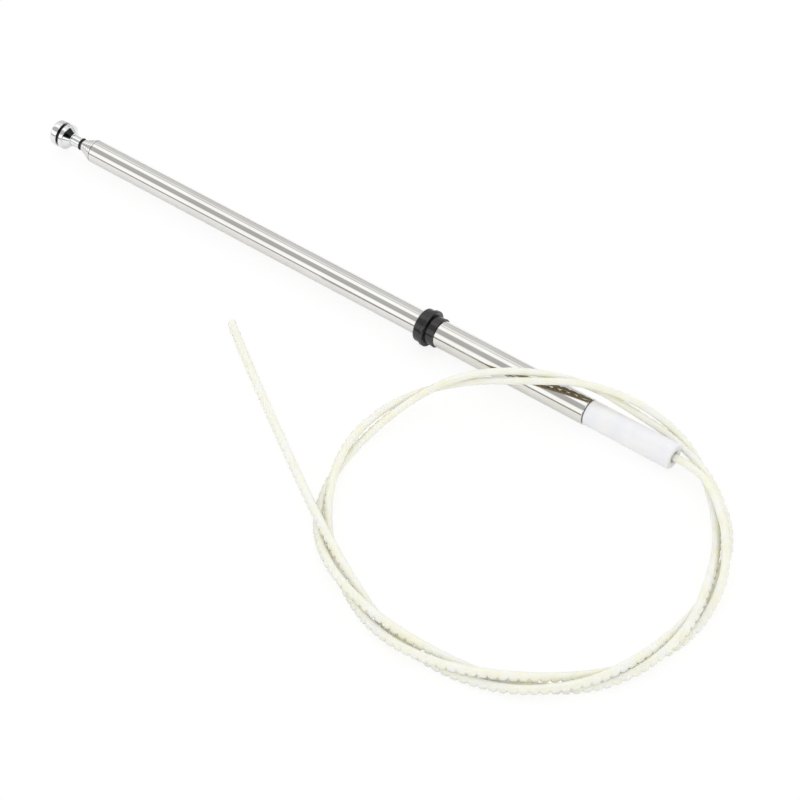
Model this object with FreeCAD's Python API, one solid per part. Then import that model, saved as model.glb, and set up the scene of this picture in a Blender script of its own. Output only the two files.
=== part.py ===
import FreeCAD, Part
import math
import os

# Replacement mast of a car's power antenna: four sliding sections in a base tube,
# pushed right in, with the toothed nylon drive cable coming out of the lower end.
# Millimetres, +Z up. The mast lies along X with its tip towards +X. The origin is on
# the surface it lies on, under the middle of the mast.

Vector = FreeCAD.Vector
x_axis = Vector(1, 0, 0)

# Mast tubes, from the outermost to the rod
base_od = 10.0
section_4_od = 8.4
section_3_od = 7.0
section_2_od = 5.6
tip_rod_od = 3.8
tube_wall = 0.35
nose_length = 1.5
nose_clearance = 0.06
nose_bends = ((0.6, 0.15), (0.25, 0.5), (0.0, 1.0))  # (share of length left, share of the drop)
nose_land = 0.25
stop_gap = 0.3

# What shows of each piece along the mast, from the lower end to the tip
bush_visible_length = 39.2
sleeve_visible_length = 70.3
tube_visible_length = 170.9
section_4_reveal = 1.6
section_3_reveal = 1.6
section_2_reveal = 2.0

# Ground sleeve over the lower part of the base tube
sleeve_od = 11.0
sleeve_clearance = 0.04
sleeve_edge_chamfer = 0.15

# Collar that centres the mast in the drive's housing
guide_ring_od = 12.3
guide_ring_length = 4.0
guide_ring_lip = 0.5
guide_ring_lip_rise = 0.12
guide_ring_edge = 0.1
rib_od = 15.3
rib_length = 1.8
rib_edge = 0.3
barrel_od = 14.1
barrel_edge_radius = 1.0
barrel_length = 3.3
sleeve_seat_depth = 2.2
ring_clearance = 0.02

# Nylon end bush that leads the cable into the mast
bush_od = 10.5
bush_edge_radius = 0.9
bush_bore = 4.9
bush_mouth_chamfer = 0.35
bush_funnel = 1.1
spigot_length = 12.0
spigot_clearance = 0.03
relief_width = 0.6
relief_depth = 0.35

# Rubber cushion that the sections land on
cushion_length = 7.4
cushion_bore = 5.2
cushion_clearance = 0.05
cushion_bevel = 0.5

# Foot of each sliding piece: a brass collar and a contact spring above it
collar_length = 4.0
collar_lip = 0.8
collar_edge_share = 0.35
collar_clearance = 0.05
seat_clearance = 0.02
spring_length = 9.0
spring_band = 1.6
spring_thickness = 0.12
spring_slots = 6
spring_slot_width = 0.7

# Tip: washer, turned knob and its stem
washer_od = 5.3
washer_thickness = 0.5
washer_edge = 0.2
washer_gap = 0.7
stem_od = 4.8
stem_length = 5.6
cone_foot_od = 6.6
cone_foot_bevel = 0.3
cone_head_od = 9.9
cone_length = 2.8
cone_bow_length = 0.6 * cone_length
cone_bow_rise = 0.42 * (cone_head_od - cone_foot_od) / 2
flange_od = 11.4
flange_length = 2.4
flange_bevel = 0.35
groove_width = 1.5
groove_depth = 1.3
groove_draft = 0.15
cap_od = 11.2
cap_edge = 0.25
cap_straight_length = 1.4
cap_shoulder_radius = 1.4
cap_dome_height = 0.6
rod_depth_in_knob = 9.0

# Drive cable
cable_od = 3.7
cable_body_od = 2.9
tooth_pitch = 3.7
tooth_root_length = 2.3
tooth_crest_length = 1.3
tooth_width = 1.9
core_mouth_gap = 0.3
ferrule_od = 4.4
ferrule_cable_depth = 8.0
ferrule_rod_depth = 5.0
ferrule_web = 1.0
ferrule_crimp_depth = 0.16
ferrule_crimp_slope = 1.2
ferrule_clearance = 0.02
coil_section_od = 8.6
hump_clearance = 0.6
floor_clearance = 0.05

# Stations along the mast, each measured on from the one below it
mast_length = (
    bush_visible_length + sleeve_visible_length
    + guide_ring_length + rib_length + barrel_length
    + tube_visible_length
    + section_4_reveal + section_3_reveal + section_2_reveal
    + washer_gap + washer_thickness + stem_length
    + cone_length + flange_length + groove_width
    + cap_straight_length + cap_shoulder_radius + cap_dome_height
)
axis_height = rib_od / 2
mouth_x = -mast_length / 2
sleeve_end_x = mouth_x + bush_visible_length
collar_rear_x = sleeve_end_x + sleeve_visible_length
rib_rear_x = collar_rear_x + guide_ring_length
rib_front_x = rib_rear_x + rib_length
collar_front_x = rib_front_x + barrel_length
base_front_x = collar_front_x + tube_visible_length
section_4_front_x = base_front_x + section_4_reveal
section_3_front_x = section_4_front_x + section_3_reveal
section_2_front_x = section_3_front_x + section_2_reveal
washer_x = section_2_front_x + washer_gap
stem_x = washer_x + washer_thickness
cone_x = stem_x + stem_length
flange_x = cone_x + cone_length
groove_x = flange_x + flange_length
cap_x = groove_x + groove_width
tip_x = mast_length / 2
spigot_front_x = sleeve_end_x + spigot_length

# Each section slides as far as the base tube leaves between cushion and nose
cushion_front_x = spigot_front_x + cushion_length
foot_length = collar_lip + collar_length + spring_length
section_travel = base_front_x - nose_length - cushion_front_x - foot_length - 2 * stop_gap
print(f"travel of each section {section_travel:.2f}")


def turned(start, *steps):
    """A solid turned about the mast's axis from an outline of (x, radius) points.

    A step is the next point of a straight edge, or a pair of points for an arc that
    passes through the first and ends at the second.
    """
    def place(point):
        return Vector(point[0], 0, axis_height + point[1])

    edges = []
    here = place(start)
    for step in list(steps) + [start]:
        if isinstance(step[0], tuple):
            middle, end = place(step[0]), place(step[1])
            edges.append(Part.Arc(here, middle, end).toShape())
        else:
            end = place(step)
            if end.distanceToPoint(here) < 1e-7:
                continue
            edges.append(Part.LineSegment(here, end).toShape())
        here = end
    face = Part.Face(Part.Wire(edges))
    return face.revolve(Vector(0, 0, axis_height), x_axis, 360)


def section_tube(x_rear, x_front, outer_od, inner_piece_od):
    """A tube whose front end is rolled in on to the piece that slides in it."""
    outer = outer_od / 2
    bore = outer - tube_wall
    mouth = inner_piece_od / 2 + nose_clearance
    drop = bore - mouth
    return turned(
        (x_rear, bore),
        (x_rear, outer),
        (x_front - nose_length, outer),
        *[(x_front - left * nose_length, outer - fallen * drop) for left, fallen in nose_bends],
        (x_front, mouth),
        (x_front - nose_land * nose_length, mouth),
        (x_front - nose_length, bore),
    )


def rear_x_for(carrier_front_x):
    """Rear end of a piece whose spring meets the carrier's nose after its full travel."""
    shoulder_x = carrier_front_x - nose_length
    return shoulder_x - stop_gap - section_travel - collar_length - spring_length


def foot_collar(x_rear, piece_od, bore_of_carrier, lip_bore):
    """Brass collar round the foot of a sliding piece, with a lip behind its end."""
    outer = bore_of_carrier / 2 - collar_clearance
    seat = piece_od / 2 + seat_clearance
    edge = collar_edge_share * (outer - seat)
    return turned(
        (x_rear - collar_lip, lip_bore / 2),
        (x_rear - collar_lip, outer - edge),
        (x_rear - collar_lip + edge, outer),
        (x_rear + collar_length - edge, outer),
        (x_rear + collar_length, outer - edge),
        (x_rear + collar_length, seat),
        (x_rear, seat),
        (x_rear, lip_bore / 2),
    )


def contact_spring(x_rear, piece_od, bore_of_carrier):
    """Slotted spring sleeve: two bands round the piece and leaves bowed out between them."""
    seat = piece_od / 2 + seat_clearance
    crest = bore_of_carrier / 2 - collar_clearance
    x_front = x_rear + spring_length
    middle_x = (x_rear + x_front) / 2
    sleeve = turned(
        (x_rear, seat),
        (x_rear, seat + spring_thickness),
        (x_rear + spring_band, seat + spring_thickness),
        ((middle_x, crest), (x_front - spring_band, seat + spring_thickness)),
        (x_front, seat + spring_thickness),
        (x_front, seat),
        (x_front - spring_band, seat),
        ((middle_x, crest - spring_thickness), (x_rear + spring_band, seat)),
    )
    slots = []
    for index in range(spring_slots):
        slot = Part.makeBox(spring_length - 2 * spring_band, spring_slot_width, 2 * crest)
        slot.translate(Vector(x_rear + spring_band, -spring_slot_width / 2, 0))
        slot.rotate(Vector(0, 0, 0), x_axis, 360 / spring_slots * index)
        slot.translate(Vector(0, 0, axis_height))
        slots.append(slot)
    return sleeve.cut(slots)


def base_tube():
    return section_tube(sleeve_end_x, base_front_x, base_od, section_4_od)


def ground_sleeve():
    """Outer sleeve from the bush to its seat inside the collar's barrel."""
    outer = sleeve_od / 2
    bore = base_od / 2 + sleeve_clearance
    front_x = rib_front_x + barrel_length - sleeve_seat_depth
    return turned(
        (sleeve_end_x, bore),
        (sleeve_end_x, outer - sleeve_edge_chamfer),
        (sleeve_end_x + sleeve_edge_chamfer, outer),
        (front_x, outer),
        (front_x, bore),
    )


def guide_ring():
    """Glossy rear ring of the collar, with a thin raised lip at its rear edge."""
    outer = guide_ring_od / 2
    waist = outer - guide_ring_lip_rise
    bore = sleeve_od / 2 + ring_clearance
    return turned(
        (collar_rear_x, bore),
        (collar_rear_x, outer - guide_ring_edge),
        (collar_rear_x + guide_ring_edge, outer),
        (collar_rear_x + guide_ring_lip, outer),
        (collar_rear_x + guide_ring_lip, waist),
        (rib_rear_x, waist),
        (rib_rear_x, bore),
    )


def buffer_ring():
    """Rubber front of the collar: the rib and a barrel that narrows to its face."""
    rib = rib_od / 2
    barrel = barrel_od / 2
    face = barrel - barrel_edge_radius
    corner = barrel_edge_radius * (1 - math.sqrt(0.5))
    sleeve_bore = sleeve_od / 2 + ring_clearance
    tube_bore = base_od / 2 + ring_clearance
    seat_x = collar_front_x - sleeve_seat_depth
    return turned(
        (rib_rear_x, sleeve_bore),
        (rib_rear_x, rib - rib_edge),
        (rib_rear_x + rib_edge, rib),
        (rib_front_x - rib_edge, rib),
        (rib_front_x, rib - rib_edge),
        (rib_front_x, barrel),
        (collar_front_x - barrel_edge_radius, barrel),
        ((collar_front_x - corner, barrel - corner), (collar_front_x, face)),
        (collar_front_x, tube_bore),
        (seat_x, tube_bore),
        (seat_x, sleeve_bore),
    )


def end_bush():
    """Bush with a spigot in the base tube and a bore that leads the cable in."""
    outer = bush_od / 2
    bore = bush_bore / 2
    spigot = base_od / 2 - tube_wall - spigot_clearance
    corner = bush_edge_radius * (1 - math.sqrt(0.5))
    return turned(
        (mouth_x + bush_mouth_chamfer, bore),
        (mouth_x, bore + bush_mouth_chamfer),
        (mouth_x, outer - bush_edge_radius),
        ((mouth_x + corner, outer - corner), (mouth_x + bush_edge_radius, outer)),
        (sleeve_end_x - relief_width, outer),
        (sleeve_end_x - relief_width, outer - relief_depth),
        (sleeve_end_x, outer - relief_depth),
        (sleeve_end_x, spigot),
        (spigot_front_x, spigot),
        (spigot_front_x, bore + bush_funnel),
        (spigot_front_x - bush_funnel, bore),
    )


def landing_cushion():
    """Rubber ring between the spigot and the foot of section 4."""
    outer = base_od / 2 - tube_wall - cushion_clearance
    return turned(
        (spigot_front_x, cushion_bore / 2 + bush_funnel),
        (spigot_front_x, outer),
        (cushion_front_x - cushion_bevel, outer),
        (cushion_front_x, outer - cushion_bevel),
        (cushion_front_x, cushion_bore / 2),
        (spigot_front_x + bush_funnel, cushion_bore / 2),
    )


def tip_rod():
    rear_x = rod_rear_x()
    radius = tip_rod_od / 2
    return turned((rear_x, 0), (rear_x, radius), (rod_front_x(), radius), (rod_front_x(), 0))


def rod_collar_x():
    """Rear of the rod's collar, in front of the ferrule that holds the cable."""
    return rear_x_for(section_2_front_x)


def rod_rear_x():
    return rod_collar_x() - ferrule_rod_depth


def rod_front_x():
    return stem_x + rod_depth_in_knob


def rod_collar():
    """Plain brass ring: the ferrule behind it takes the place of a lip."""
    outer = section_2_od / 2 - tube_wall - collar_clearance
    seat = tip_rod_od / 2 + seat_clearance
    x_rear = rod_collar_x()
    edge = collar_edge_share * (outer - seat)
    return turned(
        (x_rear, seat),
        (x_rear, outer - edge),
        (x_rear + edge, outer),
        (x_rear + collar_length - edge, outer),
        (x_rear + collar_length, outer - edge),
        (x_rear + collar_length, seat),
    )


def rubber_washer():
    outer = washer_od / 2
    bore = tip_rod_od / 2 + seat_clearance
    return turned(
        (washer_x, bore),
        (washer_x, outer - washer_edge),
        ((washer_x + washer_thickness / 2, outer), (stem_x, outer - washer_edge)),
        (stem_x, bore),
    )


def tip_knob():
    """Turned knob: stem, flared cone, flange, groove and a domed cap, with a blind bore."""
    stem = stem_od / 2
    foot = cone_foot_od / 2
    head = cone_head_od / 2
    flange = flange_od / 2
    cap = cap_od / 2
    dome_foot = cap - cap_shoulder_radius
    bore = tip_rod_od / 2 + seat_clearance
    groove_root = flange - groove_depth
    groove_end = cap_x - groove_draft
    shoulder_x = cap_x + cap_straight_length
    corner = cap_shoulder_radius * (1 - math.sqrt(0.5))
    dome_x = shoulder_x + cap_shoulder_radius
    dome_radius = (dome_foot ** 2 + cap_dome_height ** 2) / (2 * cap_dome_height)
    dome_middle_x = tip_x - dome_radius + math.sqrt(dome_radius ** 2 - dome_foot ** 2 / 4)
    return turned(
        (stem_x, bore),
        (stem_x, stem),
        (cone_x, stem),
        (cone_x, foot - cone_foot_bevel),
        (cone_x + cone_foot_bevel, foot),
        ((cone_x + cone_bow_length, foot + cone_bow_rise), (flange_x, head)),
        (flange_x + flange_bevel, flange),
        (groove_x - flange_bevel, flange),
        (groove_x, flange - flange_bevel),
        (groove_x + groove_draft, groove_root),
        (groove_end, groove_root),
        (cap_x, cap - cap_edge),
        (cap_x + cap_edge, cap),
        (shoulder_x, cap),
        ((dome_x - corner, cap - corner), (dome_x, dome_foot)),
        ((dome_middle_x, dome_foot / 2), (tip_x, 0)),
        (rod_front_x(), 0),
        (rod_front_x(), bore),
    )


def cable_ferrule():
    """Crimped ferrule that joins the cable to the foot of the rod."""
    outer = ferrule_od / 2
    rod_bore = tip_rod_od / 2 + ferrule_clearance
    cable_bore = cable_od / 2 + ferrule_clearance
    front_x = rod_collar_x()
    web_x = rod_rear_x()
    rear_x = web_x - ferrule_cable_depth
    return turned(
        (front_x, rod_bore),
        (front_x, outer),
        (web_x, outer),
        (web_x - ferrule_crimp_slope, outer - ferrule_crimp_depth),
        (rear_x + 2 * ferrule_crimp_slope, outer - ferrule_crimp_depth),
        (rear_x + ferrule_crimp_slope, outer),
        (rear_x, outer),
        (rear_x, cable_bore),
        (web_x - ferrule_web, cable_bore),
        (web_x - ferrule_web, 0),
        (web_x, 0),
        (web_x, rod_bore),
    )


def cable_core():
    """Stretch of the toothed cable inside the bush, from its mouth to the ferrule."""
    start_x = mouth_x + core_mouth_gap
    end_x = rod_rear_x() - ferrule_web
    body_y = (cable_od - cable_body_od) / 2
    crest_y = -cable_od / 2
    length = end_x - start_x
    body = Part.makeCylinder(cable_body_od / 2, length, Vector(start_x, body_y, axis_height), x_axis)
    teeth = []
    count = int((length - tooth_root_length) / tooth_pitch)
    for index in range(count):
        middle_x = start_x + tooth_pitch * (index + 0.5)
        outline = [
            Vector(middle_x - tooth_root_length / 2, body_y, 0),
            Vector(middle_x - tooth_crest_length / 2, crest_y, 0),
            Vector(middle_x + tooth_crest_length / 2, crest_y, 0),
            Vector(middle_x + tooth_root_length / 2, body_y, 0),
        ]
        face = Part.Face(Part.makePolygon(outline + outline[:1]))
        tooth = face.extrude(Vector(0, 0, tooth_width))
        tooth.translate(Vector(0, 0, axis_height - tooth_width / 2))
        teeth.append(tooth)
    bore = Part.makeCylinder(cable_od / 2, length, Vector(start_x, 0, axis_height), x_axis)
    return body.multiFuse(teeth).removeSplitter().common(bore)


# The cable outside the mast. Points are (x from the bush's mouth, y, z above the surface).
sleeve_top = axis_height + sleeve_od / 2
coil_floor_z = coil_section_od / 2 + floor_clearance
coil_hump_z = sleeve_top + coil_section_od / 2 + hump_clearance
tail_floor_z = cable_od / 2 + floor_clearance

exit_route = [
    (0.0, 0.0, axis_height),
    (-10.2, 0.6, 7.3),
    (-21.2, 6.0, 5.6),
    (-30.2, 14.0, 4.4),
]

coil_route = [
    (-35.1, 18.5, coil_floor_z),
    (-44.6, 40.0, coil_floor_z),
    (-47.9, 65.0, coil_floor_z),
    (-42.0, 89.0, coil_floor_z),
    (-29.5, 108.0, coil_floor_z),
    (-8.8, 122.8, coil_floor_z),
    (16.4, 130.0, coil_floor_z),
    (43.2, 128.2, coil_floor_z),
    (68.0, 119.0, coil_floor_z),
    (88.6, 103.8, coil_floor_z),
    (100.8, 83.5, coil_floor_z),
    (105.4, 60.0, 4.9),
    (101.4, 36.0, 8.2),
    (86.6, 18.2, 14.0),
    (65.4, 4.0, coil_hump_z),
    (43.4, -6.2, coil_hump_z),
    (22.4, -11.2, 12.8),
    (4.4, -12.4, 6.6),
    (-16.1, 0.3, 4.6),
]

tail_route = [
    (66.4, 117.0, 5.5),
    (86.4, 105.5, 5.6),
    (108.4, 92.0, 3.7),
    (132.4, 76.3, 2.1),
    (159.9, 58.4, tail_floor_z),
    (184.2, 41.5, tail_floor_z),
]


corner_share = 0.45  # of the shorter run at a corner, taken up by its arc


def route_points(route):
    return [Vector(mouth_x + x, y, z) for x, y, z in route]


def corner(before, point, after, name):
    """Tangent arc at a corner of a route: its start, middle and end points."""
    back = before - point
    ahead = after - point
    turn = math.pi - back.getAngle(ahead)
    reach = corner_share * min(back.Length, ahead.Length)
    radius = reach / math.tan(turn / 2)
    print(f"{name}: turn {math.degrees(turn):5.1f} degrees, radius {radius:6.1f}")
    back.normalize()
    ahead.normalize()
    inward = (back + ahead).normalize()
    depth = radius / math.cos(turn / 2) - radius
    return point + back * reach, point + inward * depth, point + ahead * reach


def open_path(points, name):
    """Straight runs joined by tangent arcs, from the first point to the last."""
    edges = []
    here = points[0]
    for before, point, after in zip(points, points[1:], points[2:]):
        start, middle, end = corner(before, point, after, name)
        edges.append(Part.LineSegment(here, start).toShape())
        edges.append(Part.Arc(start, middle, end).toShape())
        here = end
    edges.append(Part.LineSegment(here, points[-1]).toShape())
    return Part.Wire(edges)


def tube_along(path, diameter, name):
    """Round tube swept along a path, with its volume held against section times length."""
    start = path.OrderedVertexes[0].Point
    direction = path.OrderedEdges[0].tangentAt(path.OrderedEdges[0].FirstParameter)
    circle = Part.Wire(Part.Circle(start, direction, diameter / 2).toShape())
    tube = path.makePipeShell([circle], True, False)
    expected = math.pi * diameter ** 2 / 4 * path.Length
    print(f"{name}: length {path.Length:.1f}, volume {tube.Volume:.1f}, expected {expected:.1f}")
    return tube


def cable_exit():
    return tube_along(open_path(route_points(exit_route), "exit"), cable_od, "exit")


def cable_tail():
    return tube_along(open_path(route_points(tail_route), "tail"), cable_od, "tail")


def cable_coil():
    """Closed ring of the coil's outer shape, rising over the sleeve on one side.

    Each run and each corner is its own length of round bar, joined end to end.
    """
    points = route_points(coil_route)
    count = len(points)
    corners = []
    for index, point in enumerate(points):
        before = points[index - 1]
        after = points[(index + 1) % count]
        corners.append(corner(before, point, after, "coil"))
    radius = coil_section_od / 2
    pieces = []
    for index, (start, middle, end) in enumerate(corners):
        next_start = corners[(index + 1) % count][0]
        arc = Part.Wire(Part.Arc(start, middle, end).toShape())
        run = Part.Wire(Part.LineSegment(end, next_start).toShape())
        for path in (arc, run):
            edge = path.Edges[0]
            direction = edge.tangentAt(edge.FirstParameter)
            circle = Part.Wire(Part.Circle(edge.Vertexes[0].Point, direction, radius).toShape())
            pieces.append(path.makePipeShell([circle], True, False))
    ring = pieces[0].multiFuse(pieces[1:])
    length = sum(piece.Volume for piece in pieces) / (math.pi * radius ** 2)
    print(f"coil: length round {length:.1f}, solids {len(ring.Solids)}, valid {ring.isValid()}")
    return ring


def sliding_piece(name, piece_od, carrier_od, carrier_front_x, front_x, inner_od):
    """Tube, collar and spring of one sliding section, by node name."""
    x_rear = rear_x_for(carrier_front_x)
    carrier_bore = carrier_od - 2 * tube_wall
    own_bore = piece_od - 2 * tube_wall
    return {
        name: section_tube(x_rear, front_x, piece_od, inner_od),
        name + "_collar": foot_collar(x_rear, piece_od, carrier_bore, own_bore),
        name + "_spring": contact_spring(x_rear + collar_length, piece_od, carrier_bore),
    }


def all_nodes():
    nodes = {
        "base_tube": base_tube(),
        "ground_sleeve": ground_sleeve(),
        "guide_ring": guide_ring(),
        "buffer_ring": buffer_ring(),
        "end_bush": end_bush(),
        "landing_cushion": landing_cushion(),
        "cable_exit": cable_exit(),
        "cable_coil": cable_coil(),
        "cable_tail": cable_tail(),
    }
    nodes.update(sliding_piece(
        "section_4", section_4_od, base_od, base_front_x, section_4_front_x, section_3_od))
    nodes.update(sliding_piece(
        "section_3", section_3_od, section_4_od, section_4_front_x, section_3_front_x, section_2_od))
    nodes.update(sliding_piece(
        "section_2", section_2_od, section_3_od, section_3_front_x, section_2_front_x, tip_rod_od))
    nodes.update({
        "tip_rod": tip_rod(),
        "rod_collar": rod_collar(),
        "rod_spring": contact_spring(
            rod_collar_x() + collar_length, tip_rod_od, section_2_od - 2 * tube_wall),
        "rubber_washer": rubber_washer(),
        "tip_knob": tip_knob(),
        "cable_ferrule": cable_ferrule(),
        "cable_core": cable_core(),
    })
    return nodes


os.makedirs("parts", exist_ok=True)
for node_name, shape in all_nodes().items():
    box = shape.BoundBox
    print(f"{node_name:18s} solids {len(shape.Solids)} valid {shape.isValid()} "
          f"volume {shape.Volume:8.1f}  x {box.XMin:7.2f}..{box.XMax:7.2f}  z {box.ZMin:5.2f}..{box.ZMax:5.2f}")
    shape.exportStep(f"parts/{node_name}.step")
print(f"mast {mast_length:.1f} long, axis {axis_height:.2f} above the surface")
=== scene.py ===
import math

import bpy
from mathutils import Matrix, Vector


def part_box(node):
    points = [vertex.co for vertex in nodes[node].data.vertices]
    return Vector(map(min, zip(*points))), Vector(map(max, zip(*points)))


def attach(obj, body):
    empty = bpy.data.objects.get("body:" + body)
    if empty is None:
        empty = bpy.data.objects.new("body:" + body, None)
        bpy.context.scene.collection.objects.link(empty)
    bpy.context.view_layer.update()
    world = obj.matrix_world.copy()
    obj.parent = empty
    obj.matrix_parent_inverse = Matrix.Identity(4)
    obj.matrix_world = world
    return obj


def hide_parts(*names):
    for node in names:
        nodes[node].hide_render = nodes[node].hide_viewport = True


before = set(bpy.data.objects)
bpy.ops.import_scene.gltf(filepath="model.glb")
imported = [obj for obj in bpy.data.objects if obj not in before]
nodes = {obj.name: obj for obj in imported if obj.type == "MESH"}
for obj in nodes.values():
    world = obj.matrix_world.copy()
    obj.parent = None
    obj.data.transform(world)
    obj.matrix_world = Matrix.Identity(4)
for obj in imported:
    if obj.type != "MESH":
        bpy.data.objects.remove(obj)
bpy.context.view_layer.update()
mm = 0.001
axisHeight = 7.65 * mm         # of the mast above the floor


def deselectAll():
    if bpy.context.object and bpy.context.object.mode != "OBJECT":
        bpy.ops.object.mode_set(mode="OBJECT")
    bpy.ops.object.select_all(action="DESELECT")


def makeActive(piece):
    deselectAll()
    piece.select_set(True)
    bpy.context.view_layer.objects.active = piece


view = {
    "azimuth": 216.814,        # degrees
    "elevation": 46.589,
    "distance": 1.15046,
    "target": (-0.05066, 0.03253, 0.0),
    "lens": 133.42,            # the camera's own millimetres
    "sensor": 36.0,
    "clip": (0.01, 20.0),
}


def wayToCamera():
    azimuth = math.radians(view["azimuth"])
    elevation = math.radians(view["elevation"])
    return Vector((math.sin(azimuth) * math.cos(elevation),
                   -math.cos(azimuth) * math.cos(elevation),
                   math.sin(elevation)))


def addCamera():
    back = wayToCamera()
    bpy.ops.object.camera_add(location=Vector(view["target"]) + back * view["distance"])
    camera = bpy.context.object
    camera.name = "camera"
    camera.rotation_euler = back.to_track_quat("Z", "Y").to_euler()
    camera.data.lens = view["lens"]
    camera.data.sensor_width = view["sensor"]
    camera.data.clip_start, camera.data.clip_end = view["clip"]
    bpy.context.scene.camera = camera
    print("camera: in place")


cable = {
    "diameter": 3.7 * mm,      # over the teeth
    "barRadius": 1.42 * mm,
    "toothPitch": 3.7 * mm,
    "toothTilt": 35.0,         # degrees below level, on the outside of the loop
    "cuts": (0.12, 0.3, 0.7, 0.88),    # shares of one pitch where the bar is cut across
    "raised": ((0.1, 0.2, 0.55), (0.25, 0.75, 1.0), (0.8, 0.9, 0.55)),   # from, to, share of the height
    "toothSide": 0.2,          # what faces the tooth's way by more than this is raised
    "sides": 12,
    "routeSteps": 12,          # for each point of the route
    "mergeWithin": 0.01 * mm,
    "smoothBelow": 50.0,       # degrees
    "exit": (-155.8 * mm, 0.0, axisHeight),
    "length": 1.31,
}

# Route points: millimetres from the bush's mouth along x, then y, then height
exitRoute = [
    (0.0, 0.0, 7.65),
    (-10.2, 0.3, 8.2),
    (-21.4, 6.0, 8.6),
    (-30.4, 14.4, 7.6),
]

ringRoute = [
    (-35.1, 18.5, 4.35),
    (-44.6, 40.0, 4.35),
    (-47.9, 65.0, 4.35),
    (-42.0, 89.0, 4.35),
    (-29.5, 108.0, 4.35),
    (-8.8, 122.8, 4.35),
    (16.4, 130.0, 4.35),
    (43.2, 128.2, 4.35),
    (68.0, 119.0, 4.35),
    (88.6, 103.8, 4.35),
    (100.8, 83.5, 4.35),
    (105.4, 60.0, 4.9),
    (101.4, 36.0, 8.2),
    (86.6, 18.2, 14.0),
    (65.4, 4.0, 18.05),
    (43.4, -6.2, 18.05),
    (22.4, -11.2, 12.8),
    (4.4, -12.4, 6.6),
    (-16.4, -0.1, 4.6),
]

tailRoute = [
    (66.4, 117.4, 6.2),
    (86.0, 106.2, 6.3),
    (107.6, 91.7, 3.7),
    (131.4, 75.4, 2.0),
    (159.0, 57.1, 1.9),
    (183.3, 40.1, 1.9),
]

# Wound up by hand, the turns lie round each other like the strands of a loose rope.
# A station is a point of the ring, and lengths are in millimetres, as in the routes
coil = {
    "centre": (28.4, 58.6),
    "turnStations": (19, 19, 8),       # how many stations each turn passes
    "onTop": (0.0, 5.3, 10.5, 15.6, 20.8, 26.2, 32.1, 36.7, 41.1, 47.4),   # where the strand is on top
    "doubledAfter": 8,                 # past this station two turns lie, as the third leaves for the tail
    "layerDrop": 2.45,                 # from the ring down to the lowest strand
    "spread": {3: 3.1, 2: 2.35},       # swing in and out, for three strands and for two
    "rise": {3: 2.55, 2: 2.2},         # swing up and down
    "lean": 0.1,                       # how far the turns lie outside the ring
    "leanSwing": 1.5,                  # and how much further at leanStation, or less across from it
    "leanStation": 5.0,
}


def twistAngle(station):
    # From one station on top, down on the outside and round to the next one on top
    tops = coil["onTop"]
    number = 0
    while number < len(tops) - 2 and station > tops[number + 1]:
        number += 1
    share = (station - tops[number]) / (tops[number + 1] - tops[number])
    return math.radians(90 - 360 * (number + share))


def coilPlace(turn, station):
    stationCount = len(ringRoute)
    strandCount = 3 if station <= coil["doubledAfter"] else 2
    angles = [twistAngle(station + stationCount * strand) for strand in range(strandCount)]
    heights = [math.sin(angle) for angle in angles]
    x, y, z = ringRoute[station]
    centreX, centreY = coil["centre"]
    reach = math.hypot(x - centreX, y - centreY)
    swing = 2 * math.pi * (station - coil["leanStation"]) / stationCount
    outward = coil["lean"] + coil["leanSwing"] * math.cos(swing)
    outward += coil["spread"][strandCount] * math.cos(angles[turn])
    lift = coil["rise"][strandCount] * (heights[turn] - min(heights))
    return (x + outward * (x - centreX) / reach,
            y + outward * (y - centreY) / reach,
            z - coil["layerDrop"] + lift)


def cablePoints():
    points = list(exitRoute)
    for turn, stations in enumerate(coil["turnStations"]):
        points += [coilPlace(turn, station) for station in range(stations)]
    points += tailRoute
    mouthX = cable["exit"][0]
    return [(mouthX + x * mm, y * mm, z * mm) for x, y, z in points]


def addCableRoute():
    data = bpy.data.curves.new("cableRoute", "CURVE")
    data.dimensions = "3D"
    data.twist_mode = "Z_UP"
    data.resolution_u = cable["routeSteps"]
    spline = data.splines.new("NURBS")
    points = cablePoints()
    spline.points.add(len(points) - 1)
    for point, place in zip(spline.points, points):
        point.co = (*place, 1)
    spline.order_u = 3
    spline.use_endpoint_u = True
    route = bpy.data.objects.new("cableRoute", data)
    bpy.context.scene.collection.objects.link(route)
    return route


def routeLine(route):
    bpy.context.view_layer.update()
    line = bpy.data.meshes.new_from_object(route)
    places = [v.co.copy() for v in line.vertices]
    bpy.data.meshes.remove(line)
    return places


def addOnePitch(pitch):
    # One pitch of the plain bar, cut across where its tooth will begin and end
    deselectAll()
    bpy.ops.mesh.primitive_cylinder_add(
        vertices=cable["sides"], radius=cable["barRadius"], depth=pitch, end_fill_type="NOTHING",
        location=(pitch / 2, 0, 0), rotation=(0, math.pi / 2, 0))
    piece = bpy.context.object
    piece.name = "drive_cable"
    bpy.ops.object.transform_apply(location=True, rotation=True, scale=True)
    bpy.ops.object.mode_set(mode="EDIT")
    bpy.ops.mesh.select_all(action="SELECT")
    turn = math.pi / cable["sides"] - math.radians(cable["toothTilt"])
    bpy.ops.transform.rotate(value=turn, orient_axis="X", center_override=(pitch / 2, 0, 0))
    for share in cable["cuts"]:
        bpy.ops.mesh.select_all(action="SELECT")
        bpy.ops.mesh.bisect(plane_co=(pitch * share, 0, 0), plane_no=(1, 0, 0))
    bpy.ops.object.mode_set(mode="OBJECT")
    return piece


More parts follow.
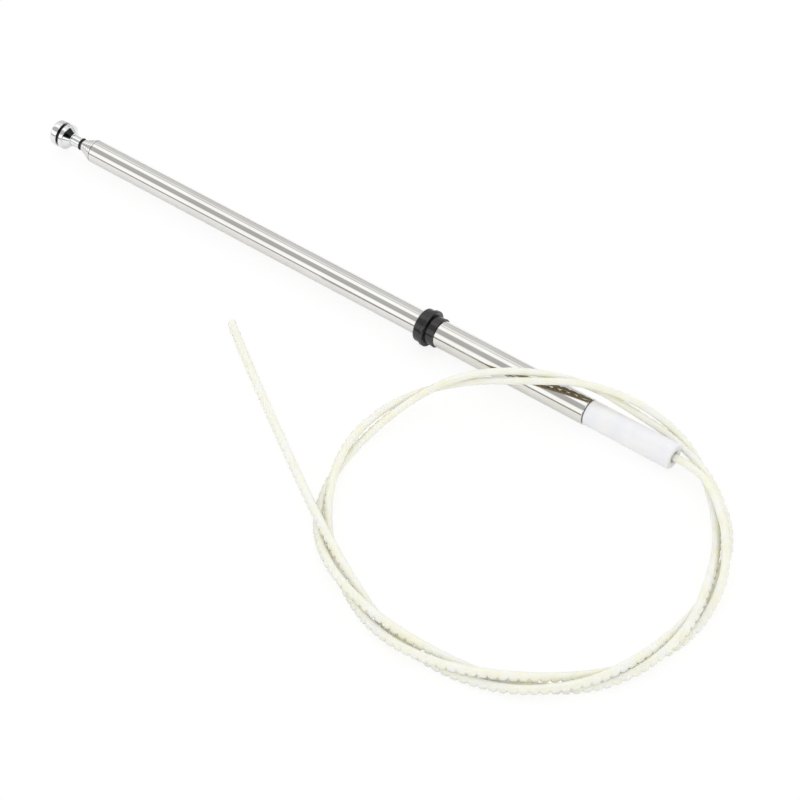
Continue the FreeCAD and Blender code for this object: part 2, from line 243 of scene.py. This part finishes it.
def raiseTooth(piece, pitch):
    # Its flanks rise a little and its crown by the whole height
    tilt = math.radians(cable["toothTilt"])
    toothWay = Vector((0, math.cos(tilt), -math.sin(tilt)))
    toothHeight = cable["diameter"] - 2 * cable["barRadius"]
    makeActive(piece)
    for start, end, part in cable["raised"]:
        bpy.ops.object.mode_set(mode="EDIT")
        bpy.ops.mesh.select_all(action="DESELECT")
        bpy.ops.object.mode_set(mode="OBJECT")
        for vertex in piece.data.vertices:
            facing = vertex.co.dot(toothWay) / cable["barRadius"]
            vertex.select = start < vertex.co.x / pitch < end and facing > cable["toothSide"]
        bpy.ops.object.mode_set(mode="EDIT")
        bpy.ops.transform.translate(value=toothWay * toothHeight * part)
        bpy.ops.object.mode_set(mode="OBJECT")

    # Then all moves back by half of that, so that the route runs midway through bar and tooth
    bpy.ops.object.mode_set(mode="EDIT")
    bpy.ops.mesh.select_all(action="SELECT")
    bpy.ops.transform.translate(value=-toothWay * toothHeight / 2)
    bpy.ops.object.mode_set(mode="OBJECT")


def layAlong(piece, route, count):
    teeth = piece.modifiers.new("teeth", "ARRAY")
    teeth.fit_type = "FIXED_COUNT"
    teeth.count = count
    teeth.use_merge_vertices = True
    teeth.merge_threshold = cable["mergeWithin"]
    along = piece.modifiers.new("along", "CURVE")
    along.object = route
    along.deform_axis = "POS_X"
    makeActive(piece)
    bpy.ops.object.modifier_apply(modifier="teeth")
    bpy.ops.object.modifier_apply(modifier="along")


def closeCableEnds(piece):
    makeActive(piece)
    bpy.ops.object.mode_set(mode="EDIT")
    bpy.ops.mesh.select_mode(type="EDGE")
    bpy.ops.mesh.select_all(action="DESELECT")
    bpy.ops.mesh.select_non_manifold(extend=False, use_wire=False, use_boundary=True,
                                     use_multi_face=False, use_non_contiguous=False, use_verts=False)
    bpy.ops.mesh.fill_holes(sides=0)
    bpy.ops.mesh.select_all(action="SELECT")
    bpy.ops.mesh.normals_make_consistent(inside=False)
    bpy.ops.object.mode_set(mode="OBJECT")
    bpy.ops.object.shade_smooth_by_angle(angle=math.radians(cable["smoothBelow"]))


def addCable():
    route = addCableRoute()
    path = routeLine(route)
    length = sum((b - a).length for a, b in zip(path, path[1:]))
    count = round(length / cable["toothPitch"])
    pitch = length / count
    piece = addOnePitch(pitch)
    raiseTooth(piece, pitch)
    layAlong(piece, route, count)
    closeCableEnds(piece)
    bpy.data.objects.remove(route)

    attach(piece, "mast_base")
    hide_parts("cable_exit", "cable_coil", "cable_tail")
    print(f"cable: {length:.3f} m with {count} teeth, {pitch / mm:.2f} mm apart")
    return piece


knob = {
    "sides": 72,
    "smoothBelow": 35.0,       # degrees
    "grooveMiddle": 149.5 * mm,
    "turned": [                # millimetres along the mast, and the radius there
        (140.1, 2.4), (144.4, 2.4), (144.5, 3.0), (147.0, 4.7), (147.0, 5.3), (147.15, 5.45),
        (148.65, 5.45), (148.85, 5.25), (148.95, 4.1), (150.05, 4.1), (150.15, 5.3), (150.35, 5.5),
        (152.3, 5.5), (152.9, 5.4), (153.4, 5.1), (153.8, 4.6), (154.1, 3.9), (154.3, 2.6), (154.4, 1.2),
    ],
}


def addKnob():
    deselectAll()
    turned = knob["turned"]
    firstPlace, firstRadius = turned[0]
    bpy.ops.mesh.primitive_circle_add(
        vertices=knob["sides"], radius=firstRadius * mm, fill_type="NGON",
        location=(firstPlace * mm, 0, axisHeight), rotation=(0, math.pi / 2, 0))
    piece = bpy.context.object
    piece.name = "tip_knob_turned"
    bpy.ops.object.transform_apply(location=True, rotation=True, scale=True)
    bpy.ops.object.mode_set(mode="EDIT")
    bpy.ops.mesh.select_mode(type="VERT")
    bpy.ops.mesh.select_all(action="SELECT")
    for (lastPlace, lastRadius), (place, radius) in zip(turned, turned[1:]):
        bpy.ops.mesh.extrude_region_move(
            TRANSFORM_OT_translate={"value": ((place - lastPlace) * mm, 0, 0)})
        growth = radius / lastRadius
        bpy.ops.transform.resize(value=(1, growth, growth), center_override=(place * mm, 0, axisHeight))
    bpy.ops.mesh.select_all(action="SELECT")
    bpy.ops.mesh.normals_make_consistent(inside=False)
    bpy.ops.object.mode_set(mode="OBJECT")
    bpy.ops.object.shade_smooth_by_angle(angle=math.radians(knob["smoothBelow"]))
    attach(piece, "tip_section")
    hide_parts("tip_knob")
    print(f"knob: {len(piece.data.polygons)} faces")
    return piece


# Small helpers for node trees. A value is a number, a colour or another node's output

def feed(tree, value, socket):
    if isinstance(value, bpy.types.NodeSocket):
        tree.links.new(value, socket)
    else:
        socket.default_value = value


def mathNode(tree, operation, first, second=0.0):
    node = tree.nodes.new("ShaderNodeMath")
    node.operation = operation
    feed(tree, first, node.inputs[0])
    feed(tree, second, node.inputs[1])
    return node.outputs[0]


def mapped(tree, value, low, high, newLow, newHigh):
    node = tree.nodes.new("ShaderNodeMapRange")
    feed(tree, value, node.inputs["Value"])
    feed(tree, low, node.inputs["From Min"])
    feed(tree, high, node.inputs["From Max"])
    feed(tree, newLow, node.inputs["To Min"])
    feed(tree, newHigh, node.inputs["To Max"])
    return node.outputs["Result"]


def mixColours(tree, share, first, second):
    node = tree.nodes.new("ShaderNodeMix")
    node.data_type = "RGBA"
    node.clamp_factor = True
    feed(tree, share, node.inputs[0])
    feed(tree, first, node.inputs[6])
    feed(tree, second, node.inputs[7])
    return node.outputs[2]


def mixShaders(tree, share, first, second):
    node = tree.nodes.new("ShaderNodeMixShader")
    feed(tree, share, node.inputs["Fac"])
    tree.links.new(first, node.inputs[1])
    tree.links.new(second, node.inputs[2])
    return node.outputs[0]


def addShaders(tree, first, second):
    node = tree.nodes.new("ShaderNodeAddShader")
    tree.links.new(first, node.inputs[0])
    tree.links.new(second, node.inputs[1])
    return node.outputs[0]


def diffuseShader(tree, colour):
    node = tree.nodes.new("ShaderNodeBsdfDiffuse")
    node.inputs["Color"].default_value = (*colour, 1)
    return node.outputs[0]


def glowShader(tree, strength):
    node = tree.nodes.new("ShaderNodeEmission")
    node.inputs["Strength"].default_value = strength
    return node.outputs[0]


def splitPlace(tree, kind):
    # The X, Y and Z of one kind of texture coordinate
    place = tree.nodes.new("ShaderNodeTexCoord")
    split = tree.nodes.new("ShaderNodeSeparateXYZ")
    tree.links.new(place.outputs[kind], split.inputs[0])
    return split.outputs


# Shared effects: node groups with named inputs and outputs. Each noise has its own detail,
# and the middle part of its range, from low to high, is spread over the whole effect
noises = {
    "fineMarks": {"detail": 3.0, "low": 0.32, "high": 0.68},
    "mottle": {"detail": 4.0, "low": 0.35, "high": 0.65},
    "handling": {"detail": 5.0, "low": 0.55, "high": 0.72},
}
ringFullness = 2.2             # above 1, so that the band is full for some way round its middle


def newGroup(name, inputs, outputs):
    group = bpy.data.node_groups.new(name, "ShaderNodeTree")
    for label, kind, value in inputs:
        group.interface.new_socket(name=label, in_out="INPUT", socket_type=kind).default_value = value
    for label, kind in outputs:
        group.interface.new_socket(name=label, in_out="OUTPUT", socket_type=kind)
    return group, group.nodes.new("NodeGroupInput"), group.nodes.new("NodeGroupOutput")


def stretchedNoise(tree, along, across, detail):
    # Noise on the part's own coordinates, at so many waves a metre along the mast and across it
    place = tree.nodes.new("ShaderNodeTexCoord")
    waves = tree.nodes.new("ShaderNodeCombineXYZ")
    stretch = tree.nodes.new("ShaderNodeVectorMath")
    stretch.operation = "MULTIPLY"
    noise = tree.nodes.new("ShaderNodeTexNoise")
    noise.inputs["Scale"].default_value = 1.0
    noise.inputs["Detail"].default_value = detail
    tree.links.new(along, waves.inputs["X"])
    tree.links.new(across, waves.inputs["Y"])
    tree.links.new(across, waves.inputs["Z"])
    tree.links.new(place.outputs["Object"], stretch.inputs[0])
    tree.links.new(waves.outputs[0], stretch.inputs[1])
    tree.links.new(stretch.outputs[0], noise.inputs["Vector"])
    return noise.outputs["Fac"]


def makeFineMarks():
    # Hair lines left by drawing, grinding or turning: a value from Low to High
    group, start, end = newGroup(
        "fineMarks",
        [("Along", "NodeSocketFloat", 20.0), ("Across", "NodeSocketFloat", 2000.0),
         ("Low", "NodeSocketFloat", 0.0), ("High", "NodeSocketFloat", 1.0)],
        [("Value", "NodeSocketFloat"), ("Height", "NodeSocketFloat")])
    kind = noises["fineMarks"]
    noise = stretchedNoise(group, start.outputs["Along"], start.outputs["Across"], kind["detail"])
    value = mapped(group, noise, kind["low"], kind["high"], start.outputs["Low"], start.outputs["High"])
    group.links.new(value, end.inputs["Value"])
    group.links.new(noise, end.inputs["Height"])
    return group


def makeMottle():
    # Soft cloudy change from one colour to another
    group, start, end = newGroup(
        "mottle",
        [("Scale", "NodeSocketFloat", 120.0), ("Colour A", "NodeSocketColor", (1, 1, 1, 1)),
         ("Colour B", "NodeSocketColor", (0, 0, 0, 1))],
        [("Colour", "NodeSocketColor"), ("Value", "NodeSocketFloat")])
    kind = noises["mottle"]
    noise = stretchedNoise(group, start.outputs["Scale"], start.outputs["Scale"], kind["detail"])
    cloud = mapped(group, noise, kind["low"], kind["high"], 0.0, 1.0)
    colour = mixColours(group, cloud, start.outputs["Colour A"], start.outputs["Colour B"])
    group.links.new(colour, end.inputs["Colour"])
    group.links.new(cloud, end.inputs["Value"])
    return group


def makeHandling():
    # Sparse rubs and finger smears where a part has been held: a mask from none to Amount
    group, start, end = newGroup(
        "handling",
        [("Scale", "NodeSocketFloat", 60.0), ("Amount", "NodeSocketFloat", 1.0)],
        [("Mask", "NodeSocketFloat")])
    kind = noises["handling"]
    patches = stretchedNoise(group, start.outputs["Scale"], start.outputs["Scale"], kind["detail"])
    mask = mapped(group, patches, kind["low"], kind["high"], 0.0, start.outputs["Amount"])
    group.links.new(mask, end.inputs["Mask"])
    return group


def makeShadeBand():
    # A narrow band round the mast at one place along it, full at its middle; it masks the painted shade in
    # joints, grooves and seams
    group, start, end = newGroup(
        "shadeBand",
        [("Place", "NodeSocketFloat", 0.0), ("Width", "NodeSocketFloat", 0.001)],
        [("Mask", "NodeSocketFloat")])
    along = splitPlace(group, "Object")["X"]
    away = mathNode(group, "ABSOLUTE", mathNode(group, "SUBTRACT", along, start.outputs["Place"]))
    half = mathNode(group, "MULTIPLY", start.outputs["Width"], 0.5)
    group.links.new(mapped(group, away, 0.0, half, ringFullness, 0.0), end.inputs["Mask"])
    return group


fineMarks = makeFineMarks()
shadeBand = makeShadeBand()
mottle = makeMottle()
handling = makeHandling()


def newFinish(name):
    material = bpy.data.materials.new(name)
    material.use_nodes = True
    return material, material.node_tree, material.node_tree.nodes["Principled BSDF"]


def useGroup(tree, group, values):
    node = tree.nodes.new("ShaderNodeGroup")
    node.node_tree = group
    for label, value in values.items():
        node.inputs[label].default_value = value
    return node


def paintJointShade(tree, colour, look):
    # Painted shade: dark bands where one piece enters the next, and over a crimp line, a groove or a seam
    for place in look.get("rings", []):
        ring = useGroup(tree, shadeBand, {"Place": place, "Width": look["ringWidth"]})
        colour = mixColours(tree, ring.outputs["Mask"], colour, (*look["jointShadeColour"], 1))
    return colour


def addSurface(tree, shader, look, smearScale, bumpDepth):
    # What all finishes share: clouded colour, bands of painted shade in joints, fine marks, smears and a
    # little relief
    tone = useGroup(tree, mottle, {"Scale": look["cloud"], "Colour A": (*look["colour"], 1),
                                   "Colour B": (*look["shade"], 1)})
    marks = useGroup(tree, fineMarks, {"Along": look["along"], "Across": look["across"],
                                       "Low": look["smooth"], "High": look["rough"]})
    smears = useGroup(tree, handling, {"Scale": look["cloud"] * smearScale, "Amount": look["smear"]})
    roughness = mathNode(tree, "ADD", marks.outputs["Value"], smears.outputs["Mask"])
    bump = tree.nodes.new("ShaderNodeBump")
    bump.inputs["Strength"].default_value = look["bump"]
    bump.inputs["Distance"].default_value = bumpDepth
    tree.links.new(paintJointShade(tree, tone.outputs["Colour"], look), shader.inputs["Base Color"])
    tree.links.new(roughness, shader.inputs["Roughness"])
    tree.links.new(marks.outputs["Height"], bump.inputs["Height"])
    tree.links.new(bump.outputs["Normal"], shader.inputs["Normal"])


def metalFinish(name, look):
    material, tree, shader = newFinish(name)
    addSurface(tree, shader, look, smearScale=0.6, bumpDepth=0.02 * mm)
    shader.inputs["Metallic"].default_value = 1.0
    return material


def paintMirroredShade(tree, shader, look):
    # Painted reflection: for glossy rays the part turns a dark diffuse colour, so polished metal close by
    # mirrors it as a shaded underside, much darker than the top
    rays = tree.nodes.new("ShaderNodeLightPath")
    paintedUnderside = diffuseShader(tree, look["mirroredShadeColour"])
    share = mathNode(tree, "MULTIPLY", rays.outputs["Is Glossy Ray"], look["mirroredShare"])
    both = mixShaders(tree, share, shader.outputs[0], paintedUnderside)
    tree.links.new(both, tree.nodes["Material Output"].inputs["Surface"])


def plasticFinish(name, look):
    material, tree, shader = newFinish(name)
    addSurface(tree, shader, look, smearScale=0.7, bumpDepth=0.03 * mm)
    shader.inputs["IOR"].default_value = look["ior"]
    if "scatter" in look:
        shader.inputs["Subsurface Weight"].default_value = look["scatter"]
        shader.inputs["Subsurface Radius"].default_value = look["scatterReach"]
        shader.inputs["Subsurface Scale"].default_value = 1.0
    # Painted shade that only reflections see
    if "mirroredShadeColour" in look:
        paintMirroredShade(tree, shader, look)
    return material


# Where each tube's lip stands round the next one when the mast is pushed in
lips = [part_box(name)[1][0] for name in ("base_tube", "section_4", "section_3", "section_2")]
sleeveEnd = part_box("ground_sleeve")[0][0]

# cloud, along and across are waves a metre, and roughness runs from smooth to rough
metals = {
    "stainlessTube": {
        "colour": (0.80, 0.795, 0.775), "shade": (0.765, 0.755, 0.73), "cloud": 45.0,
        "along": 12.0, "across": 2600.0, "smooth": 0.05, "rough": 0.115, "smear": 0.05, "bump": 0.05,
        # Painted shade: dark bands just in front of each lip and at the base tube's rolled edge
        "rings": [lips[0] - 1.4 * mm] + [lip + 0.1 * mm for lip in lips],
        "ringWidth": 0.5 * mm, "jointShadeColour": (0.33, 0.325, 0.32),
    },
    "groundSleeve": {
        "colour": (0.80, 0.795, 0.765), "shade": (0.77, 0.76, 0.72), "cloud": 70.0,
        "along": 900.0, "across": 60.0, "smooth": 0.07, "rough": 0.15, "smear": 0.05, "bump": 0.04,
    },
    "knobChrome": {
        "colour": (0.86, 0.86, 0.87), "shade": (0.81, 0.815, 0.83), "cloud": 180.0,
        "along": 2200.0, "across": 40.0, "smooth": 0.03, "rough": 0.06, "smear": 0.06, "bump": 0.015,
        # Painted shade: a black band over the knob's groove
        "rings": [knob["grooveMiddle"]], "ringWidth": 1.5 * mm, "jointShadeColour": (0.03, 0.03, 0.03),
    },
    "collarBrass": {
        "colour": (0.74, 0.58, 0.31), "shade": (0.6, 0.43, 0.2), "cloud": 260.0,
        "along": 3000.0, "across": 50.0, "smooth": 0.2, "rough": 0.34, "smear": 0.12, "bump": 0.15,
    },
    "springBronze": {
        "colour": (0.72, 0.5, 0.31), "shade": (0.55, 0.35, 0.2), "cloud": 320.0,
        "along": 1200.0, "across": 300.0, "smooth": 0.22, "rough": 0.38, "smear": 0.1, "bump": 0.1,
    },
}
metals["polishedRod"] = {**metals["stainlessTube"], "rings": []}

plastics = {
    "blackRubber": {
        "colour": (0.009, 0.009, 0.01), "shade": (0.05, 0.049, 0.047), "cloud": 900.0,
        "along": 3800.0, "across": 3800.0, "smooth": 0.36, "rough": 0.55, "smear": 0.12, "bump": 0.5,
        "ior": 1.35,
    },
    "blackPlastic": {
        "colour": (0.008, 0.008, 0.009), "shade": (0.014, 0.014, 0.015), "cloud": 260.0,
        "along": 1500.0, "across": 400.0, "smooth": 0.1, "rough": 0.2, "smear": 0.12, "bump": 0.08,
        "ior": 1.58,
    },
    "bushNylon": {
        "colour": (0.945, 0.94, 0.93), "shade": (0.88, 0.885, 0.93), "cloud": 120.0,
        "along": 260.0, "across": 900.0, "smooth": 0.3, "rough": 0.46, "smear": 0.1, "bump": 0.2,
        # Painted shadow: a dark band on the bush just past the sleeve's end, in the seam between them
        "rings": [sleeveEnd - 0.2 * mm], "ringWidth": 0.42 * mm, "jointShadeColour": (0.13, 0.13, 0.13),
        "ior": 1.53, "scatter": 0.25, "scatterReach": (1.6 * mm, 1.8 * mm, 2.2 * mm),
    },
    "cableNylon": {
        "colour": (0.935, 0.94, 0.85), "shade": (0.915, 0.895, 0.74), "cloud": 130.0,
        "along": 700.0, "across": 700.0, "smooth": 0.3, "rough": 0.45, "smear": 0.08, "bump": 0.15,
        # Painted shade: the dark brown that glossy rays see of the cable
        "mirroredShadeColour": (0.26, 0.2, 0.115), "mirroredShare": 0.93,
        "ior": 1.53, "scatter": 0.7, "scatterReach": (4.0 * mm, 3.7 * mm, 2.4 * mm),
    },
}

whereUsed = {
    "stainlessTube": ["base_tube", "section_4", "section_3", "section_2"],
    "polishedRod": ["tip_rod"],
    "groundSleeve": ["ground_sleeve"],
    "collarBrass": ["section_4_collar", "section_3_collar", "section_2_collar", "rod_collar",
                    "cable_ferrule"],
    "springBronze": ["section_4_spring", "section_3_spring", "section_2_spring", "rod_spring"],
    "blackRubber": ["rubber_washer", "landing_cushion"],
    "blackPlastic": ["guide_ring", "buffer_ring"],
    "bushNylon": ["end_bush"],
    "cableNylon": ["cable_core"],
}


def setFinish(piece, material):
    piece.data.materials.clear()
    piece.data.materials.append(material)
    for polygon in piece.data.polygons:
        polygon.material_index = 0


def finishPieces(toothedCable, turnedKnob):
    finishes = {name: metalFinish(name, look) for name, look in metals.items()}
    finishes.update({name: plasticFinish(name, look) for name, look in plastics.items()})
    dressed = [(nodes[piece], name) for name, pieces in whereUsed.items() for piece in pieces]
    dressed += [(toothedCable, "cableNylon"), (turnedKnob, "knobChrome")]
    for piece, name in dressed:
        setFinish(piece, finishes[name])
    print(f"finishes: {len(finishes)} on {len(dressed)} pieces")


floorLook = {
    "size": 8.0,
    "colour": (0.9, 0.895, 0.885),        # what the part sees of it
    "shadowColour": (0.16, 0.16, 0.158),  # how far a shadow darkens it for the camera
    "glow": 0.855,
    "mirroredGlow": 0.12,                 # lifts what shiny metal mirrors of it
    "mirroredEnd": (0.07, 0.12),          # metres towards +y where its mirror image fades out
    "beyond": 0.3,                        # brightness of the mirror image past there
}


def addFloor():
    deselectAll()
    bpy.ops.mesh.primitive_plane_add(size=floorLook["size"], location=(0, 0, 0))
    floor = bpy.context.object
    floor.name = "floor"
    material = bpy.data.materials.new("floorWhite")
    material.use_nodes = True
    tree = material.node_tree
    tree.nodes.clear()
    output = tree.nodes.new("ShaderNodeOutputMaterial")
    rays = tree.nodes.new("ShaderNodeLightPath")

    paper = diffuseShader(tree, floorLook["colour"])
    shadowed = diffuseShader(tree, floorLook["shadowColour"])
    seen = addShaders(tree, shadowed, glowShader(tree, floorLook["glow"]))
    lifted = addShaders(tree, paper, glowShader(tree, floorLook["mirroredGlow"]))
    nearEnd, farEnd = floorLook["mirroredEnd"]
    faded = mapped(tree, splitPlace(tree, "Object")["Y"], nearEnd, farEnd, 0.0, 1.0)
    mirrored = mixShaders(tree, faded, lifted, glowShader(tree, floorLook["beyond"]))
    unseen = mixShaders(tree, rays.outputs["Is Glossy Ray"], paper, mirrored)
    both = mixShaders(tree, rays.outputs["Is Camera Ray"], unseen, seen)
    tree.links.new(both, output.inputs["Surface"])
    floor.data.materials.append(material)
    print("floor: in place")


# A light tent: level white light on everything, and for shiny metal the tent's own panels,
# as (degrees from straight up towards +y, brightness)
tent = {
    "light": 1.0,
    "panels": [
        (-90, 0.3), (-86, 0.3), (-82, 0.76), (-60, 0.74), (-48, 0.72), (-42, 0.8), (-35, 1.05),
        (-30, 1.1), (-25, 0.8), (-22, 0.6), (-17, 1.2), (7.5, 1.25), (11.5, 0.54), (47.5, 0.5), (54.5, 1.2),
        (82, 1.25), (86.5, 0.5), (90, 0.42),
    ],
    "lensOpening": 18.0,         # degrees from the camera's direction that stay black
    "lensEdge": 1.15,            # times the opening, where full light begins
    "lensLevel": 0.02,
    "openSide": (-0.6, -0.27),   # between these, along x, the tent is open towards the dark room
    "openSideBlur": 0.02,
    "openAngle": (-60, 65),      # and between these degrees round the mast
    "openAngleBlur": 5,
    "roomLevel": 0.03,
}


def tentPanels(tree, angle):
    ramp = tree.nodes.new("ShaderNodeValToRGB")
    stops = ramp.color_ramp.elements
    stops.remove(stops[-1])
    for number, (degrees, level) in enumerate(tent["panels"]):
        position = (degrees + 180) / 360
        if number == 0:
            stops[0].position = position
        stop = stops[0] if number == 0 else stops.new(position)
        stop.color = (level, level, level, 1)
    tree.links.new(mapped(tree, angle, -math.pi, math.pi, 0.0, 1.0), ramp.inputs["Fac"])
    print(f"light tent: {len(tent['panels'])} panel edges round the mast")
    return ramp.outputs["Color"]


def lensShade(tree, way):
    # Dark round the camera's direction and 1 elsewhere
    towards = tree.nodes.new("ShaderNodeVectorMath")
    towards.operation = "DOT_PRODUCT"
    towards.inputs[1].default_value = wayToCamera()
    tree.links.new(way, towards.inputs[0])
    opening = math.radians(tent["lensOpening"])
    edge = opening * tent["lensEdge"]
    return mapped(tree, towards.outputs["Value"], math.cos(edge), math.cos(opening), 1.0, tent["lensLevel"])


def outside(tree, value, ends, blur):
    # 0 between the two ends and 1 beyond either of them
    low, high = ends
    below = mapped(tree, value, low - blur, low + blur, 1.0, 0.0)
    above = mapped(tree, value, high - blur, high + blur, 0.0, 1.0)
    return mathNode(tree, "MAXIMUM", below, above)


def addWorld():
    world = bpy.data.worlds.new("lightTent")
    bpy.context.scene.world = world
    world.use_nodes = True
    tree = world.node_tree
    tree.nodes.clear()
    output = tree.nodes.new("ShaderNodeOutputWorld")
    rays = tree.nodes.new("ShaderNodeLightPath")
    light = tree.nodes.new("ShaderNodeBackground")
    light.inputs["Color"].default_value = (1, 1, 1, 1)
    light.inputs["Strength"].default_value = tent["light"]
    seen = tree.nodes.new("ShaderNodeBackground")
    both = mixShaders(tree, rays.outputs["Is Glossy Ray"], light.outputs[0], seen.outputs[0])
    tree.links.new(both, output.inputs["Surface"])

    way = tree.nodes.new("ShaderNodeTexCoord").outputs["Generated"]
    axes = splitPlace(tree, "Generated")
    angle = mathNode(tree, "ARCTAN2", axes["Y"], axes["Z"])
    alongSide = outside(tree, axes["X"], tent["openSide"], tent["openSideBlur"])
    openAngle = [math.radians(degrees) for degrees in tent["openAngle"]]
    roundMast = outside(tree, angle, openAngle, math.radians(tent["openAngleBlur"]))
    covered = mathNode(tree, "MAXIMUM", alongSide, roundMast)
    room = mapped(tree, covered, 0.0, 1.0, tent["roomLevel"], 1.0)
    tree.links.new(tentPanels(tree, angle), seen.inputs["Color"])
    tree.links.new(mathNode(tree, "MULTIPLY", lensShade(tree, way), room), seen.inputs["Strength"])


addCamera()
addFloor()
addWorld()
finishPieces(addCable(), addKnob())
bpy.context.scene.view_settings.view_transform = "Standard"


bpy.context.view_layer.update()
print("scene: done")
